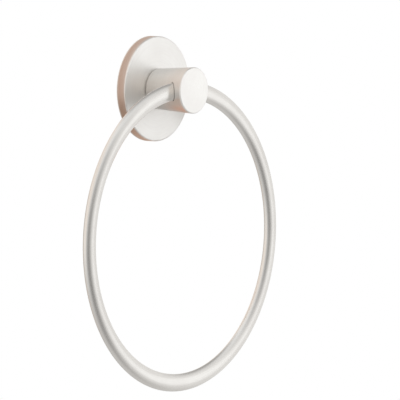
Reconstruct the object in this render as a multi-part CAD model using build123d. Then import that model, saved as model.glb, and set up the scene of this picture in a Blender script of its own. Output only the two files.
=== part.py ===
from build123d import *
import math
import os

# A towel ring: a hoop of oval rod through a short flared post, on a round cover plate over a wall bracket.
# Sizes are in millimetres. The wall is the plane Y = 0, the post stands out of it along -Y, and +Z is up.
# The origin is the centre of the bracket's back face, on the wall and on the post's axis.

# Cover plate, a pressed cup that is open towards the wall
PLATE_DIAMETER = 54.0
PLATE_DEPTH = 5.3
PLATE_WALL = 1.5
PLATE_EDGE_ROUND = 0.7

# Post, turned from bar and a little wider at its tip
POST_LENGTH = 23.7
POST_BASE_DIAMETER = 20.8
POST_TIP_DIAMETER = 23.8
POST_EDGE_ROUND = 0.6
POST_BASE_CHAMFER = 0.6
SOCKET_FLOOR = 3.0

# Ring, an oval rod bent into a hoop whose two ends meet inside the post
RING_DIAMETER = 150.0
ROD_WIDTH = 9.0
ROD_THICKNESS = 4.2
RING_SETBACK = 6.0
ROD_JOINT_GAP = 0.8
PASSAGE_CLEARANCE = 0.1
PASSAGE_EDGE_ROUND = 0.25

# Wall bracket, a disc with a spigot for the post and two countersunk holes for wall screws
BRACKET_CLEARANCE = 0.25
BRACKET_FRONT_GAP = 0.5
SPIGOT_DIAMETER = 12.0
SPIGOT_CLEARANCE = 0.15
SPIGOT_END_GAP = 0.5
SPIGOT_CHAMFER = 0.8
GROOVE_DEPTH = 0.8
GROOVE_SIDE_GAP = 0.3
WALL_SCREW_HOLE = 4.5
WALL_SCREW_EDGE = 9.25
COUNTERSINK_LAND = 1.6

# Set screws, upright under the post's axis
POST_SCREW_DIAMETER = 5.0
POST_SCREW_KEY = 2.5
RING_SCREW_DIAMETER = 4.0
RING_SCREW_KEY = 2.0
SCREW_RECESS = 0.8
SCREW_SEAT_GAP = 0.1
SCREW_SOCKET_DEPTH = 2.2
SCREW_CHAMFER = 0.5
THREAD_CLEARANCE = 0.05

# Places that follow from the sizes above, as distances from the wall or from the post's axis
PROJECTION = PLATE_DEPTH + POST_LENGTH
RING_RADIUS = RING_DIAMETER / 2
RING_PLANE = PROJECTION - RING_SETBACK
SOCKET_END = RING_PLANE - ROD_THICKNESS / 2 - PASSAGE_CLEARANCE - SOCKET_FLOOR
SPIGOT_END = SOCKET_END - SPIGOT_END_GAP
SPIGOT_RADIUS = SPIGOT_DIAMETER / 2
SPIGOT_HOLE_RADIUS = SPIGOT_RADIUS + SPIGOT_CLEARANCE
PLATE_INNER_RADIUS = PLATE_DIAMETER / 2 - PLATE_WALL
BRACKET_RADIUS = PLATE_INNER_RADIUS - BRACKET_CLEARANCE
BRACKET_THICKNESS = PLATE_DEPTH - PLATE_WALL - BRACKET_FRONT_GAP
WALL_SCREW_RADIUS = BRACKET_RADIUS - WALL_SCREW_EDGE
POST_SCREW_PLANE = (PLATE_DEPTH + SPIGOT_END) / 2
GROOVE_RADIUS = SPIGOT_RADIUS - GROOVE_DEPTH

# Each set screw's diameter, key, distance from the wall, and depth of the seat below the post's axis
SET_SCREWS = {
    "post_set_screw": (POST_SCREW_DIAMETER, POST_SCREW_KEY, POST_SCREW_PLANE, GROOVE_RADIUS),
    "ring_set_screw": (RING_SCREW_DIAMETER, RING_SCREW_KEY, RING_PLANE, ROD_WIDTH / 2),
}


def turned(*corners):
    """A solid turned about the wall's normal, from corners given as (radius, distance from the wall)."""
    outline = Polyline(*[(radius, -distance) for radius, distance in corners], close=True)
    return revolve(make_face(outline), axis=Axis.Y)


def rounded_front(solid, radius):
    """The same turned solid with the rim of its front face, the one farthest from the wall, rounded."""
    rim = solid.faces().sort_by(Axis.Y)[0].outer_wire().edges()
    return fillet(rim, radius)


def post_radius(distance):
    """The post's outer radius at a distance from the wall, along its straight flare."""
    share = (distance - PLATE_DEPTH) / POST_LENGTH
    return (POST_BASE_DIAMETER + share * (POST_TIP_DIAMETER - POST_BASE_DIAMETER)) / 2


def hoop(oversize, gap):
    """An oval section turned about the hoop's own axis, with a gap at the top where the two ends face."""
    axis = Axis((0, 0, -RING_RADIUS), (0, 1, 0))
    top = Plane((0, -RING_PLANE, 0), x_dir=(0, 1, 0), z_dir=(1, 0, 0))
    section = top * Ellipse(ROD_THICKNESS / 2 + oversize, ROD_WIDTH / 2 + oversize)
    gap_angle = math.degrees(gap / RING_RADIUS)
    return revolve(section.rotate(axis, gap_angle / 2), axis=axis, revolution_arc=360 - gap_angle)


def upright(diameter, distance, inner, outer):
    """A round bar under the post's axis, at a distance from the wall, between two depths below the axis."""
    middle = Pos(0, -distance, -(inner + outer) / 2)
    return middle * Cylinder(diameter / 2, outer - inner)


def make_cover_plate():
    """A cup with a flat face, a straight rim on the wall and a hole for the spigot."""
    inner_depth = PLATE_DEPTH - PLATE_WALL
    cup = turned(
        (SPIGOT_HOLE_RADIUS, PLATE_DEPTH),
        (PLATE_DIAMETER / 2, PLATE_DEPTH),
        (PLATE_DIAMETER / 2, 0),
        (PLATE_INNER_RADIUS, 0),
        (PLATE_INNER_RADIUS, inner_depth),
        (SPIGOT_HOLE_RADIUS, inner_depth),
    )
    return rounded_front(cup, PLATE_EDGE_ROUND)


def make_post():
    """A flared bar with a chamfered base, a blind socket, a curved passage for the rod and two tapped holes."""
    chamfer_end = PLATE_DEPTH + POST_BASE_CHAMFER
    bar = turned(
        (0, SOCKET_END),
        (SPIGOT_HOLE_RADIUS, SOCKET_END),
        (SPIGOT_HOLE_RADIUS, PLATE_DEPTH),
        (POST_BASE_DIAMETER / 2 - POST_BASE_CHAMFER, PLATE_DEPTH),
        (post_radius(chamfer_end), chamfer_end),
        (POST_TIP_DIAMETER / 2, PROJECTION),
        (0, PROJECTION),
    )
    post = rounded_front(bar, POST_EDGE_ROUND) - hoop(PASSAGE_CLEARANCE, 0)
    mouths = post.edges().filter_by(lambda edge: edge.geom_type not in (GeomType.CIRCLE, GeomType.LINE))
    post = fillet(mouths, PASSAGE_EDGE_ROUND)
    for diameter, key, distance, seat in SET_SCREWS.values():
        post -= upright(diameter + 2 * THREAD_CLEARANCE, distance, seat, POST_TIP_DIAMETER)
    return post


def make_wall_bracket():
    """A disc and a grooved spigot, turned as one piece, with two countersunk holes above and below the spigot."""
    groove_half = POST_SCREW_DIAMETER / 2 + GROOVE_SIDE_GAP
    bracket = turned(
        (0, 0),
        (BRACKET_RADIUS, 0),
        (BRACKET_RADIUS, BRACKET_THICKNESS),
        (SPIGOT_RADIUS, BRACKET_THICKNESS),
        (SPIGOT_RADIUS, POST_SCREW_PLANE - groove_half - GROOVE_DEPTH),
        (GROOVE_RADIUS, POST_SCREW_PLANE - groove_half),
        (GROOVE_RADIUS, POST_SCREW_PLANE + groove_half),
        (SPIGOT_RADIUS, POST_SCREW_PLANE + groove_half + GROOVE_DEPTH),
        (SPIGOT_RADIUS, SPIGOT_END - SPIGOT_CHAMFER),
        (SPIGOT_RADIUS - SPIGOT_CHAMFER, SPIGOT_END),
        (0, SPIGOT_END),
    )
    sink_depth = BRACKET_THICKNESS - COUNTERSINK_LAND
    hole = turned(
        (0, 0),
        (WALL_SCREW_HOLE / 2, 0),
        (WALL_SCREW_HOLE / 2, COUNTERSINK_LAND),
        (WALL_SCREW_HOLE / 2 + sink_depth, BRACKET_THICKNESS),
        (0, BRACKET_THICKNESS),
    )
    for height in (WALL_SCREW_RADIUS, -WALL_SCREW_RADIUS):
        bracket -= Pos(0, 0, height) * hole
    return bracket


def make_set_screw(diameter, key, distance, seat):
    """A set screw from just below its seat to just inside the post's surface, with a hexagon socket below."""
    inner = seat + SCREW_SEAT_GAP
    outer = post_radius(distance) - SCREW_RECESS
    body = upright(diameter, distance, inner, outer)
    screw = chamfer(body.edges().filter_by(GeomType.CIRCLE), SCREW_CHAMFER)
    hexagon = Pos(0, -distance, -outer) * RegularPolygon(key / 2, 6, major_radius=False)
    return screw - extrude(hexagon, SCREW_SOCKET_DEPTH, dir=(0, 0, 1))


PARTS = {
    "ring": hoop(0, ROD_JOINT_GAP),
    "post": make_post(),
    "cover_plate": make_cover_plate(),
    "wall_bracket": make_wall_bracket(),
}
for name, sizes in SET_SCREWS.items():
    PARTS[name] = make_set_screw(*sizes)

os.makedirs("parts", exist_ok=True)
for name, solid in PARTS.items():
    export_step(solid, f"parts/{name}.step")
    print(f"{name}: {solid.volume / 1000:.2f} cm3")
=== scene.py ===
# %% [markdown]
# A towel ring in satin nickel
#
# The object is a hoop of oval rod that passes through the tip of a short turned post. The post stands on a
# round cover plate, which hides the bracket that is screwed to the wall. A CAD model already holds every
# piece at its real size, in metres: the wall is the plane Y = 0, the post points along -Y and Z is up.
# This lesson loads that model as a fixed frame, makes the hoop and the two set screws as finer surfaces,
# gives every piece its finish, and sets up a small white studio round it.

# %% Load the CAD frame
import math

import bpy
import numpy as np
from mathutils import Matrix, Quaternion, Vector


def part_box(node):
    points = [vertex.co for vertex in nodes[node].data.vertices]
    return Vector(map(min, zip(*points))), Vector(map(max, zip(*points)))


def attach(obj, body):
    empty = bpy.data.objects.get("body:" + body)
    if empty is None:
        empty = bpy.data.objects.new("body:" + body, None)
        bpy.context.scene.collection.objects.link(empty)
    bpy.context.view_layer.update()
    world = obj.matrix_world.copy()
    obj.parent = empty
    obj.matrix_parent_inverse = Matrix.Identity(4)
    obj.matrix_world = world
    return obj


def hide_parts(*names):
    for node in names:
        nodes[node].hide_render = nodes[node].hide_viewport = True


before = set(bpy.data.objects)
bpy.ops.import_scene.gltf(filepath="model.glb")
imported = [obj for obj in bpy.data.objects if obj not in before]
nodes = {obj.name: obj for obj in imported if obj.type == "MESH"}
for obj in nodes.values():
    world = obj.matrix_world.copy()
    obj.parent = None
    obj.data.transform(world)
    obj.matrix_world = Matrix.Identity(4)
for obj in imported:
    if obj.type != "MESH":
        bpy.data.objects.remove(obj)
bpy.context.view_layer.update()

MM = 0.001
print("nodes:", ", ".join(sorted(nodes)))

# %% [markdown]
# The camera
#
# The photograph is a product picture, taken from the left of the wall, a little above the hoop's middle.
# Its hoop shows almost no perspective, so the camera is far away with a long lens. A camera in Blender
# looks along its own -Z axis, so it is aimed with a quaternion that turns -Z towards the target and Y
# upwards. A last small turn about its own Z axis gives the slight lean that the picture has.

# %% Aim a long lens at the hoop
SENSOR = 36.0
LENS = 360.0
VIEW_AZIMUTH = math.radians(-52.3)
VIEW_ELEVATION = math.radians(3.6)
VIEW_ROLL = math.radians(1.07)
VIEW_DISTANCE = 2062 * MM
VIEW_TARGET = Vector((18.1, -20.0, -57.1)) * MM


def direction(azimuth, elevation):
    """The unit vector from the object towards a place: azimuth 0 is straight out from the wall, a quarter
    turn is to the right, and elevation is the angle above the level."""
    level = math.cos(elevation)
    return Vector((math.sin(azimuth) * level, -math.cos(azimuth) * level, math.sin(elevation)))


camera_data = bpy.data.cameras.new("view")
camera_data.sensor_width = SENSOR
camera_data.lens = LENS
camera = bpy.data.objects.new("view", camera_data)
towards_camera = direction(VIEW_AZIMUTH, VIEW_ELEVATION)
camera.location = VIEW_TARGET + towards_camera * VIEW_DISTANCE
camera.rotation_mode = "QUATERNION"
lean = Quaternion((0, 0, 1), VIEW_ROLL)
camera.rotation_quaternion = (-towards_camera).to_track_quat("-Z", "Y") @ lean
bpy.context.scene.collection.objects.link(camera)
bpy.context.scene.camera = camera
print("camera at (mm):", [round(value / MM) for value in camera.location])

# %% [markdown]
# Surfaces from arrays
#
# Both new kinds of piece are skins over a grid of points. The rows of the grid run along the shape and the
# columns run round it, so the last column joins up with the first. The first and the last row are closed
# with a fan of triangles round a point at their middle. Numpy computes all points at once, and from_pydata
# hands them to Blender. A skin that comes out inside out has a negative volume, and then its faces are
# turned round. A cube of side 1 shows that the volume comes out right.

# %% A closed skin
def closed_skin(points):
    """Points, faces and volume of a skin over a grid. Each row is a loop round the shape, and the end rows
    are capped. The volume is a sixth of the sum, over all triangles, of the corners' triple product."""
    rows, columns = points.shape[:2]
    index = np.arange(rows * columns).reshape(rows, columns)
    beside = np.roll(index, -1, axis=1)
    quads = np.stack([index[:-1], beside[:-1], beside[1:], index[1:]], axis=-1).reshape(-1, 4)
    first_pole = np.full(columns, rows * columns)
    last_pole = first_pole + 1
    first_fan = np.stack([first_pole, beside[0], index[0]], axis=-1)
    last_fan = np.stack([last_pole, index[-1], beside[-1]], axis=-1)
    poles = np.stack([points[0].mean(axis=0), points[-1].mean(axis=0)])
    vertices = np.concatenate([points.reshape(-1, 3), poles])
    corners = vertices[np.concatenate([first_fan, last_fan, quads[:, :3], quads[:, [0, 2, 3]]])]
    volume = np.einsum("ij,ij->i", corners[:, 0], np.cross(corners[:, 1], corners[:, 2])).sum() / 6
    faces = quads.tolist() + first_fan.tolist() + last_fan.tolist()
    if volume < 0:
        faces = [face[::-1] for face in faces]
    return vertices, faces, abs(volume)


cube = np.array([[(0, 0, z), (1, 0, z), (1, 1, z), (0, 1, z)] for z in (0, 1)])
print("volume of a cube of side 1:", closed_skin(cube)[-1])

# %% A piece that wears the skin
SHARP_ANGLE = math.radians(35.0)


def stand_in(name, points, node):
    """A smooth piece over a grid of points, which is shown in place of a CAD node and rides on the part."""
    vertices, faces, volume = closed_skin(points)
    mesh = bpy.data.meshes.new(name)
    mesh.from_pydata(vertices.tolist(), [], faces)
    mesh.shade_smooth()
    mesh.set_sharp_from_angle(angle=SHARP_ANGLE)
    piece = bpy.data.objects.new(name, mesh)
    bpy.context.scene.collection.objects.link(piece)
    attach(piece, "root")
    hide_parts(node)
    print(f"{name}: {len(vertices)} points, {len(faces)} faces, {volume / MM**3:.1f} mm3")
    return piece


# %% [markdown]
# The hoop
#
# The real hoop is a rod that was drawn to an oval, bent round a drum and cut, so that its two ends meet
# inside the post. The CAD hoop has the same form, but as a mesh it has flat facets, and a long clean
# highlight would show them. A torus from Blender's menu has a round section and no ends. So the oval is
# carried round a circle by a formula. Its sizes are read from the CAD node's box: the rod's middle passes
# through the post's axis, so the box's top is half the rod's width.

# %% Carry an oval round a circle
ROD_JOINT_GAP = 0.8 * MM
HOOP_STEPS = 480
OVAL_STEPS = 72

ring_low, ring_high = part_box("ring")
rod_half_width = ring_high.z
rod_half_thickness = (ring_high.y - ring_low.y) / 2
hoop_radius = (ring_high.x - ring_low.x) / 2 - rod_half_width
hoop_plane = (ring_high.y + ring_low.y) / 2


def hoop_points():
    """A point at angle t along the hoop and s round the oval lies at distance R + a cos s from the hoop's
    own axis and b sin s out of its plane. R is the hoop's radius, and a and b are half the rod's sizes."""
    half_gap = ROD_JOINT_GAP / 2 / hoop_radius
    along = np.linspace(half_gap, 2 * np.pi - half_gap, HOOP_STEPS)[:, None]
    around = np.linspace(0, 2 * np.pi, OVAL_STEPS, endpoint=False)[None, :]
    reach = hoop_radius + rod_half_width * np.cos(around)
    x = reach * np.sin(along)
    y = hoop_plane + rod_half_thickness * np.sin(around) + 0 * along
    z = reach * np.cos(along) - hoop_radius
    return np.stack([x, y, z], axis=-1)


hoop = stand_in("hoop", hoop_points(), "ring")

# %% [markdown]
# The set screws
#
# Two set screws are sunk into the post from below, one that holds the post on the bracket and one that
# clamps the hoop's ends. On the real object they are bought parts with a rolled thread and a hexagon
# socket. The CAD solids are plain bars of the same size. A thread could be a Screw modifier, but its ends
# are hard to finish. Here the screw is one skin: at each depth the radius is the smaller of the thread's
# and the chamfer's, and inside the socket the loop is a hexagon.

# %% A rolled thread
THREAD_PITCH = {"post_set_screw": 0.8 * MM, "ring_set_screw": 0.7 * MM}
THREAD_DEPTH_SHARE = 0.6
FLANK_STEEPNESS = 2.5
CREST_CUT = 0.75


def thread_radius(depth, turn, outer, pitch):
    """The outer radius less a triangle wave of depth against turn, cut flat at its crests and roots."""
    phase = np.mod(depth / pitch - turn / (2 * np.pi), 1.0)
    wave = np.clip(FLANK_STEEPNESS * np.abs(2 * phase - 1) - CREST_CUT, 0, 1)
    return outer - THREAD_DEPTH_SHARE * pitch * wave


for node, pitch in THREAD_PITCH.items():
    print(f"{node}: thread {THREAD_DEPTH_SHARE * pitch / MM:.2f} mm deep")

# %% A threaded bar with a hexagon socket
HEXAGON_KEY = {"post_set_screw": 2.5 * MM, "ring_set_screw": 2.0 * MM}
SOCKET_DEPTH = 2.2 * MM
SCREW_CHAMFER = 0.5 * MM
STEPS_PER_PITCH = 10
SCREW_COLUMNS = 120


def set_screw_points(node):
    """Loops from the screw's flat point, down its threaded side, over its end and up into the socket. The
    hexagon's radius is half the key over the cosine of the angle from the middle of the nearest side."""
    low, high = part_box(node)
    outer = (high.x - low.x) / 2
    length = high.z - low.z
    turn = np.linspace(0, 2 * np.pi, SCREW_COLUMNS, endpoint=False)[None, :]
    steps = round(length / THREAD_PITCH[node] * STEPS_PER_PITCH)
    depth = np.linspace(0, length, steps)[:, None]
    chamfer = outer - SCREW_CHAMFER + np.minimum(depth, length - depth)
    side = np.minimum(thread_radius(depth, turn, outer, THREAD_PITCH[node]), chamfer)
    sixth = np.pi / 3
    hexagon = HEXAGON_KEY[node] / 2 / np.cos(np.mod(turn + sixth / 2, sixth) - sixth / 2)
    radius = np.concatenate([side, hexagon, hexagon])
    drop = np.concatenate([depth, [[length], [length - SOCKET_DEPTH]]])
    x = radius * np.cos(turn)
    y = (low.y + high.y) / 2 + radius * np.sin(turn)
    z = high.z - drop + 0 * turn
    return np.stack([x, y, z], axis=-1)


screws = [
    stand_in(node + "_threaded", set_screw_points(node), node) for node in THREAD_PITCH
]

# %% [markdown]
# Colours and nodes
#
# Colours are written as the hex values that a paint program shows, and one function turns them into the
# linear numbers that Blender's shaders work in. It follows the curve of the sRGB standard: a short straight
# foot, and a power above it. One small function adds a node to a tree: it applies the node's settings, and
# for each input it links a socket or sets a plain value.

# %% From hex to linear, and one way to add a node
SRGB_FOOT_END = 0.04045
SRGB_FOOT_SLOPE = 12.92
SRGB_OFFSET = 0.055
SRGB_POWER = 2.4
WHITE = "#FFFFFF"


def linear(code):
    """A hex colour as linear red, green and blue with an alpha of 1."""
    shares = np.array([int(code[start:start + 2], 16) for start in (1, 3, 5)]) / 255
    foot = shares / SRGB_FOOT_SLOPE
    curve = ((shares + SRGB_OFFSET) / (1 + SRGB_OFFSET)) ** SRGB_POWER
    return (*np.where(shares <= SRGB_FOOT_END, foot, curve).tolist(), 1.0)


def add(tree, kind, settings=None, inputs=None):
    """One node of a kind, with its settings, and with each input linked to a socket or set to a value."""
    node = tree.nodes.new("ShaderNode" + kind)
    for name, value in (settings or {}).items():
        setattr(node, name, value)
    for name, value in (inputs or {}).items():
        if isinstance(value, bpy.types.NodeSocket):
            tree.links.new(value, node.inputs[name])
        else:
            node.inputs[name].default_value = value
    return node


print("white in linear numbers:", linear(WHITE))

# %% [markdown]
# Satin nickel
#
# The hoop, the post and the cover plate are plated with nickel and rubbed with a fine abrasive pad. The pad
# leaves hair lines that follow the work: along the hoop, round the post and in circles on the plate. To the
# eye that gives a pale, slightly warm metal with soft reflections that are drawn out across the lines. The
# real lines are a few hundredths of a millimetre apart, too fine for the picture, so they are drawn at
# about half a millimetre. The pattern is a noise whose coordinates are the distance from the turning axis,
# the distance from the wall, and, very stretched, the direction round the axis. The direction enters as a
# sine and a cosine, because an angle would leave a seam where it jumps. Lines this fine can't stretch a
# reflection by themselves, so the shader's anisotropy does that on the hoop: the tangent runs along the
# lines, and a quarter turn sets the stretch across them. The plate and the post are rubbed duller and have
# no stretch.

# %% Coordinates that follow the rubbing
HAIR_LINE = 0.5 * MM
STREAKS_ROUND = 2.5


def rubbed_track(tree, place, axis_height):
    """Noise coordinates round an axis that is parallel to Y, at a height above the post's axis: the
    distances from it and from the wall in hair lines, then the sine and the cosine of the direction."""
    centred = add(
        tree, "Mapping", None, {"Vector": place, "Location": (0, 0, -axis_height)}
    ).outputs["Vector"]
    across = add(
        tree, "VectorMath", {"operation": "MULTIPLY"}, {0: centred, 1: (1, 0, 1)}
    ).outputs["Vector"]
    radius = add(tree, "VectorMath", {"operation": "LENGTH"}, {0: across}).outputs["Value"]
    round_axis = add(tree, "VectorMath", {"operation": "NORMALIZE"}, {0: across}).outputs["Vector"]
    heading = add(tree, "SeparateXYZ", None, {"Vector": round_axis}).outputs
    depth = add(tree, "SeparateXYZ", None, {"Vector": centred}).outputs["Y"]
    measures = (radius, depth, heading["X"], heading["Z"])
    rates = (1 / HAIR_LINE, 1 / HAIR_LINE, STREAKS_ROUND, STREAKS_ROUND)
    reach_lines, depth_lines, sine, cosine = [
        add(tree, "Math", {"operation": "MULTIPLY"}, {0: measure, 1: rate}).outputs[0]
        for measure, rate in zip(measures, rates)
    ]
    track = add(tree, "CombineXYZ", None, {"X": reach_lines, "Y": depth_lines, "Z": sine})
    return track.outputs["Vector"], cosine


print(f"hair lines: {HAIR_LINE / MM} mm apart")

# %% Satin nickel, rubbed round an axis
HAIR_HEIGHT = 0.0004 * MM
HAIR_DETAIL = 2.0
CLOUD = 14.0 * MM
CLOUD_DETAIL = 3.0
NOISE_LOW = 0.3
NOISE_HIGH = 0.7
BLEND_LOW = 0.1
BLEND_HIGH = 0.4
QUARTER_TURN = 0.25
NICKEL_LIGHT = "#E9E8E5"
NICKEL_DARK = "#E1DFDC"


def finish_material(name):
    """A new material, its node tree and its main shader."""
    material = bpy.data.materials.new(name)
    material.use_nodes = True
    return material, material.node_tree, material.node_tree.nodes["Principled BSDF"]


def satin_nickel(name, axis_height, roughness, stretch):
    """Plated nickel with hair lines. Their noise sets the roughness and the bump. The tone comes from the
    same noise multiplied by a cloudy one."""
    material, tree, shader = finish_material(name)
    place = add(tree, "TexCoord").outputs["Object"]
    track, cosine = rubbed_track(tree, place, axis_height)
    hair = add(
        tree, "TexNoise", {"noise_dimensions": "4D"},
        {"Vector": track, "W": cosine, "Scale": 1.0, "Detail": HAIR_DETAIL},
    ).outputs["Fac"]
    cloud = add(
        tree, "TexNoise", None, {"Vector": place, "Scale": 1 / CLOUD, "Detail": CLOUD_DETAIL}
    ).outputs["Fac"]
    blend = add(tree, "Math", {"operation": "MULTIPLY"}, {0: hair, 1: cloud}).outputs[0]
    tone = add(
        tree, "MapRange", None, {"Value": blend, "From Min": BLEND_LOW, "From Max": BLEND_HIGH}
    ).outputs["Result"]
    colour = add(
        tree, "Mix", {"data_type": "RGBA"},
        {"Factor": tone, "A": linear(NICKEL_DARK), "B": linear(NICKEL_LIGHT)},
    ).outputs["Result"]
    dull, duller = roughness
    rough = add(
        tree, "MapRange", None,
        {"Value": hair, "From Min": NOISE_LOW, "From Max": NOISE_HIGH, "To Min": dull, "To Max": duller},
    ).outputs["Result"]
    bump = add(
        tree, "Bump", None, {"Height": hair, "Strength": 1.0, "Distance": HAIR_HEIGHT}
    ).outputs["Normal"]
    along_lines = add(tree, "Tangent", {"direction_type": "RADIAL", "axis": "Y"}).outputs["Tangent"]
    tree.links.new(colour, shader.inputs["Base Color"])
    tree.links.new(rough, shader.inputs["Roughness"])
    tree.links.new(bump, shader.inputs["Normal"])
    tree.links.new(along_lines, shader.inputs["Tangent"])
    shader.inputs["Anisotropic"].default_value = stretch
    shader.inputs["Anisotropic Rotation"].default_value = QUARTER_TURN
    shader.inputs["Metallic"].default_value = 1.0
    print(f"{name}: {len(tree.nodes)} nodes")
    return material


plate_nickel = satin_nickel(
    "satin nickel, rubbed on the plate", axis_height=0.0, roughness=(0.44, 0.48), stretch=0.0
)
post_nickel = satin_nickel(
    "satin nickel, rubbed round the post", axis_height=0.0, roughness=(0.40, 0.44), stretch=0.0
)
hoop_nickel = satin_nickel(
    "satin nickel, rubbed along the hoop", axis_height=-hoop_radius, roughness=(0.24, 0.27), stretch=0.5
)

# %% [markdown]
# Zinc plate and screw steel
#
# The bracket behind the cover plate is a turned steel part with a thin, dull zinc plating. It shows cloudy
# grey patches a few millimetres across. The set screws are hardened steel with a dark heat-treated skin,
# a little uneven in colour. Both are metals, so their base colour is the colour of their reflection.

# %% A metal with cloudy patches
PATCH_DETAIL = 4.0
PATCH_BUMP = 0.3
PATCH_WIDTH_TO_HEIGHT = 50


def clouded_metal(name, light, dark, patch, roughness):
    """A plain metal whose colour and roughness drift together between two values, in patches of a real
    size. The noise that makes the patches also makes a shallow bump."""
    material, tree, shader = finish_material(name)
    place = add(tree, "TexCoord").outputs["Object"]
    patches = add(
        tree, "TexNoise", None, {"Vector": place, "Scale": 1 / patch, "Detail": PATCH_DETAIL}
    ).outputs["Fac"]
    share = add(
        tree, "MapRange", None, {"Value": patches, "From Min": NOISE_LOW, "From Max": NOISE_HIGH}
    ).outputs["Result"]
    colour = add(
        tree, "Mix", {"data_type": "RGBA"}, {"Factor": share, "A": linear(dark), "B": linear(light)}
    ).outputs["Result"]
    dull, duller = roughness
    rough = add(
        tree, "MapRange", None, {"Value": share, "To Min": dull, "To Max": duller}
    ).outputs["Result"]
    bump = add(
        tree, "Bump", None,
        {"Height": patches, "Strength": PATCH_BUMP, "Distance": patch / PATCH_WIDTH_TO_HEIGHT},
    ).outputs["Normal"]
    tree.links.new(colour, shader.inputs["Base Color"])
    tree.links.new(rough, shader.inputs["Roughness"])
    tree.links.new(bump, shader.inputs["Normal"])
    shader.inputs["Metallic"].default_value = 1.0
    print(f"{name}: patches of {patch / MM} mm")
    return material


zinc_plate = clouded_metal(
    "dull zinc plate", light="#BFC1C3", dark="#A3A6A9", patch=3.0 * MM, roughness=(0.38, 0.52)
)
screw_steel = clouded_metal(
    "hardened screw steel", light="#77757A", dark="#5C5B60", patch=0.8 * MM, roughness=(0.30, 0.42)
)

# %% [markdown]
# Who wears what
#
# A CAD node keeps its mesh and gets a better finish through its material slot. A new piece has no slot yet,
# so its material is appended.

# %% Give every piece its finish
finishes = {"cover_plate": plate_nickel, "post": post_nickel, "wall_bracket": zinc_plate}
for node, finish in finishes.items():
    nodes[node].material_slots[0].material = finish
    print(node, "wears", finish.name)
hoop.data.materials.append(hoop_nickel)
for screw in screws:
    screw.data.materials.append(screw_steel)
for piece in (hoop, *screws):
    print(piece.name, "wears", piece.data.materials[0].name)

# %% [markdown]
# The white studio
#
# Metal has no colour of its own to show in a white room without shadows: what gives it form is what it
# mirrors. A product photographer hangs grey panels beside the white ones for that. The world is the
# cheapest way to do the same. The camera sees plain white, and matt surfaces, such as the floor, are lit by
# it. A mirrored ray sees the same white with a few soft panels. Each panel has a direction, a width and a
# height, and a soft edge for each of the two, all in degrees. They are laid over each other in this order,
# two pale warm ones first, for walls that give the post its tan.

# %% The panels
PANELS = {
    "warm wall behind": {"towards": (-165, 30), "size": (120, 80), "soft": (50, 50), "colour": "#FFF2E8"},
    "warm wall at left": {"towards": (-60, 25), "size": (70, 90), "soft": (40, 60), "colour": "#FFF6EE"},
    "grey above": {"towards": (85, 55), "size": (65, 65), "soft": (40, 40), "colour": "#B1AFAD"},
    "grey below": {"towards": (0, -90), "size": (140, 140), "soft": (50, 50), "colour": "#D8D6D4"},
    "tan low at left": {"towards": (-140, -20), "size": (50, 70), "soft": (30, 30), "colour": "#E6DACF"},
    "grey behind": {"towards": (186, -14), "size": (40, 60), "soft": (26, 26), "colour": "#C0BBB7"},
    "dark in front": {"towards": (13, -10), "size": (60, 54), "soft": (60, 50), "colour": "#908E8C"},
    "white at right": {"towards": (81, 3), "size": (98, 60), "soft": (20, 40), "colour": "#F4F2F0"},
}


def panel_cover(tree, gaze, panel):
    """How far a ray meets a panel. Its angles to the side of the panel's middle and above it are arctangents
    of its parts along the panel's axes. Each angle gives a share that fades from 1 to 0 over the soft edge,
    and the two shares are multiplied."""
    azimuth, elevation = [math.radians(angle) for angle in panel["towards"]]
    ahead = direction(azimuth, elevation)
    aside = direction(azimuth + math.pi / 2, 0)
    forward, *offsets = [
        add(tree, "VectorMath", {"operation": "DOT_PRODUCT"}, {0: gaze, 1: axis}).outputs["Value"]
        for axis in (ahead, aside, ahead.cross(aside))
    ]
    edges = []
    for offset, size, soft in zip(offsets, panel["size"], panel["soft"]):
        angle = add(tree, "Math", {"operation": "ARCTAN2"}, {0: offset, 1: forward}).outputs[0]
        away = add(tree, "Math", {"operation": "ABSOLUTE"}, {0: angle}).outputs[0]
        full = math.radians(max(size - soft, 0) / 2)
        outer = math.radians((size + soft) / 2)
        edge = add(
            tree, "MapRange", {"interpolation_type": "SMOOTHSTEP"},
            {"Value": away, "From Min": full, "From Max": outer, "To Min": 1.0, "To Max": 0.0},
        )
        edges.append(edge.outputs["Result"])
    return add(tree, "Math", {"operation": "MULTIPLY"}, {0: edges[0], 1: edges[1]}).outputs[0]


print("panels:", ", ".join(PANELS))

# %% White walls with the panels laid over them
world = bpy.data.worlds.new("white studio")
bpy.context.scene.world = world
world.use_nodes = True
studio = world.node_tree
gaze = add(studio, "TexCoord").outputs["Generated"]
mirrored = linear(WHITE)
for panel in PANELS.values():
    cover = panel_cover(studio, gaze, panel)
    mirrored = add(
        studio, "Mix", {"data_type": "RGBA"},
        {"Factor": cover, "A": mirrored, "B": linear(panel["colour"])},
    ).outputs["Result"]
ray = add(studio, "LightPath").outputs
mirror_ray = add(
    studio, "Math", {"operation": "MAXIMUM"}, {0: ray["Is Glossy Ray"], 1: ray["Is Transmission Ray"]}
).outputs[0]
lit = add(
    studio, "Mix", {"data_type": "RGBA"}, {"Factor": mirror_ray, "A": linear(WHITE), "B": mirrored}
).outputs["Result"]
room = add(
    studio, "Mix", {"data_type": "RGBA"}, {"Factor": ray["Is Camera Ray"], "A": lit, "B": linear(WHITE)}
).outputs["Result"]
studio.links.new(room, studio.nodes["Background"].inputs["Color"])
print(f"studio: {len(PANELS)} panels, {len(studio.nodes)} nodes")

# %% [markdown]
# The lamps
#
# A tall soft lamp stands far to the right, where the flat faces of the plate and the post's tip mirror it.
# Two smaller lamps near the post, one at that side and one in front and above, lift those faces a little
# more and let the post throw a soft shadow on the plate. On the hoop they would draw hard stripes, so light
# linking keeps them to the plate and the post. Directions are in degrees, distances and sizes in metres.

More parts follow.
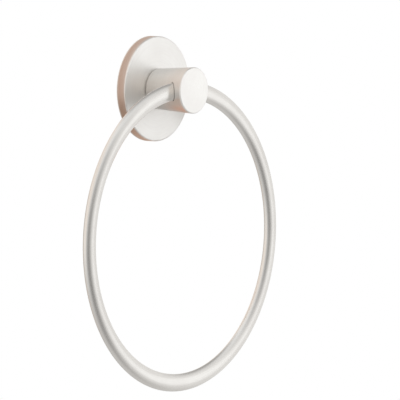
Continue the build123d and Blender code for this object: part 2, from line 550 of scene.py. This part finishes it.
# %% Three soft lamps
LAMPS = {
    "tall lamp": {"towards": (51, -3), "distance": 3.0, "size": (0.7, 1.5), "power": 1.1},
    "side lamp": {"towards": (54, -8), "distance": 0.25, "size": (0.18, 0.18), "power": 0.036},
    "front lamp": {"towards": (18, 20), "distance": 0.3, "size": (0.2, 0.2), "power": 0.11},
}
LAMP_COLOUR = "#F7FBFF"
NEAR_LAMPS = ("side lamp", "front lamp")
FLAT_FACED = ("cover_plate", "post")

post_low, post_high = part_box("post")
post_middle = (post_low + post_high) / 2
flat_faced = bpy.data.collections.new("flat-faced pieces")
for node in FLAT_FACED:
    flat_faced.objects.link(nodes[node])
for name, setting in LAMPS.items():
    data = bpy.data.lights.new(name, "AREA")
    data.shape = "RECTANGLE"
    data.size, data.size_y = setting["size"]
    data.energy = setting["power"]
    data.color = linear(LAMP_COLOUR)[:3]
    lamp = bpy.data.objects.new(name, data)
    towards_lamp = direction(*[math.radians(angle) for angle in setting["towards"]])
    lamp.location = post_middle + towards_lamp * setting["distance"]
    lamp.rotation_mode = "QUATERNION"
    lamp.rotation_quaternion = towards_lamp.to_track_quat("Z", "Y")
    bpy.context.scene.collection.objects.link(lamp)
    if name in NEAR_LAMPS:
        lamp.light_linking.receiver_collection = flat_faced
    print(f"{name}: {setting['size']} m, {setting['power']} W")

# %% [markdown]
# The warm card and the floor
#
# A wall of warm colour close behind the plate gives its rim and the underside of the post their tan
# reflection. Only that strip of wall is made, as a flat ring of card that mirrored rays alone can see. It
# reaches lower than the plate, because the tan is strongest there. Low on the left it carries a painted
# shadow: a darker brown that stands for the object's own shade on the wall and darkens the plate's rim
# there. Below the post it is orange, and the post's underside mirrors that. The floor is a pale disc well
# below. Both sheets fade out towards their outer rim, and both are clear from the back, so that the
# floor hides nothing from a camera below it.

# %% A flat ring, and a surface that fades out
STAGE_COLUMNS = 96


def flat_ring(name, inner, outer, place):
    """A flat ring between two radii. Each rim is a radius times cosine and sine, made points by place."""
    turn = np.linspace(0, 2 * np.pi, STAGE_COLUMNS, endpoint=False)
    rims = [place(radius * np.cos(turn), radius * np.sin(turn)) for radius in (inner, outer)]
    start = np.arange(STAGE_COLUMNS)
    following = np.roll(start, -1)
    faces = np.stack([start, start + STAGE_COLUMNS, following + STAGE_COLUMNS, following], axis=-1)
    mesh = bpy.data.meshes.new(name)
    mesh.from_pydata(np.concatenate(rims).tolist(), [], faces.tolist())
    sheet = bpy.data.objects.new(name, mesh)
    bpy.context.scene.collection.objects.link(sheet)
    print(f"{name}: {len(faces)} faces, up to {outer / MM:.0f} mm from its middle")
    return sheet


def fading_material(name, shader_kind, colour, full, outer):
    """A plain surface that is whole up to one distance from the object's origin, clear beyond another, and
    clear from the back. The material comes with its shader."""
    material = bpy.data.materials.new(name)
    material.use_nodes = True
    tree = material.node_tree
    tree.nodes.remove(tree.nodes["Principled BSDF"])
    shader = add(tree, shader_kind, None, {"Color": linear(colour)})
    clear = add(tree, "BsdfTransparent").outputs[0]
    place = add(tree, "TexCoord").outputs["Object"]
    distance = add(tree, "VectorMath", {"operation": "LENGTH"}, {0: place}).outputs["Value"]
    fade = add(
        tree, "MapRange", {"interpolation_type": "SMOOTHSTEP"},
        {"Value": distance, "From Min": full, "From Max": outer, "To Min": 1.0, "To Max": 0.0},
    ).outputs["Result"]
    back = add(tree, "NewGeometry").outputs["Backfacing"]
    front = add(tree, "Math", {"operation": "SUBTRACT"}, {0: 1.0, 1: back}).outputs[0]
    cover = add(tree, "Math", {"operation": "MULTIPLY"}, {0: fade, 1: front}).outputs[0]
    mixed = add(tree, "MixShader", None, {0: cover, 1: clear, 2: shader.outputs[0]}).outputs[0]
    tree.links.new(mixed, tree.nodes["Material Output"].inputs["Surface"])
    return material, shader


# %% A ring of warm card round the plate
CARD_INNER = 27.3 * MM
CARD_FULL = 36.0 * MM
CARD_OUTER = 44.0 * MM
CARD_DROP = 8.0 * MM
CARD_PLACE = -0.2 * MM
CARD_COLOUR = "#C29F8A"
CARD_TONES = {
    # Painted shadow: this darker brown low on the left stands for the object's own shade falling on the
    # wall.
    "painted shadow low on the left": {"middle": (-26, -18), "full": 6, "outer": 18, "colour": "#9E7A62"},
    "orange below the post": {"middle": (4, -46), "full": 9, "outer": 16, "colour": "#F0965A"},
}
HIDDEN_FROM = ("camera", "diffuse", "shadow", "transmission", "volume_scatter")


def on_wall(x, z):
    """Points of a circle on the wall, measured from a place that is lower than the circle's middle."""
    return np.stack([x, 0 * x + CARD_PLACE, z + CARD_DROP], axis=-1)


def card_glow():
    """The card's material: one warm colour, with each tone laid over it as a soft round place on the wall.
    The darker brown tone low on the left is a painted shadow, the object's own shade on the wall. A tone's
    middle is measured to the right of the post's axis and above it. All is in millimetres."""
    material, shader = fading_material("warm card", "Emission", CARD_COLOUR, CARD_FULL, CARD_OUTER)
    tree = material.node_tree
    place = add(tree, "TexCoord").outputs["Object"]
    warm = linear(CARD_COLOUR)
    for tone in CARD_TONES.values():
        x, z = tone["middle"]
        middle = (x * MM, CARD_PLACE, z * MM + CARD_DROP)
        away = add(tree, "VectorMath", {"operation": "DISTANCE"}, {0: place, 1: middle}).outputs["Value"]
        fade = add(
            tree, "MapRange", {"interpolation_type": "SMOOTHSTEP"},
            {"Value": away, "From Min": tone["full"] * MM, "From Max": tone["outer"] * MM},
        ).outputs["Result"]
        warm = add(
            tree, "Mix", {"data_type": "RGBA"}, {"Factor": fade, "A": linear(tone["colour"]), "B": warm}
        ).outputs["Result"]
    tree.links.new(warm, shader.inputs["Color"])
    return material


card = flat_ring("warm card", CARD_INNER, CARD_OUTER + CARD_DROP, on_wall)
card.location.z = -CARD_DROP
card.data.materials.append(card_glow())
for kind in HIDDEN_FROM:
    setattr(card, "visible_" + kind, False)

# %% A pale floor
FLOOR_DROP = 0.35
FLOOR_FULL = 0.45
FLOOR_OUTER = 0.60
FLOOR_COLOUR = "#EFEDEA"

floor = flat_ring("floor", 0, FLOOR_OUTER, lambda x, y: np.stack([x, y, 0 * x], axis=-1))
floor.location.z = -FLOOR_DROP
floor.visible_glossy = False
floor_paint, _ = fading_material("pale floor", "BsdfDiffuse", FLOOR_COLOUR, FLOOR_FULL, FLOOR_OUTER)
floor.data.materials.append(floor_paint)

# %% [markdown]
# The end
#
# Standard is the view transform that shows a colour as it is written.

# %% Set the view transform, and finish
bpy.context.scene.view_settings.view_transform = "Standard"
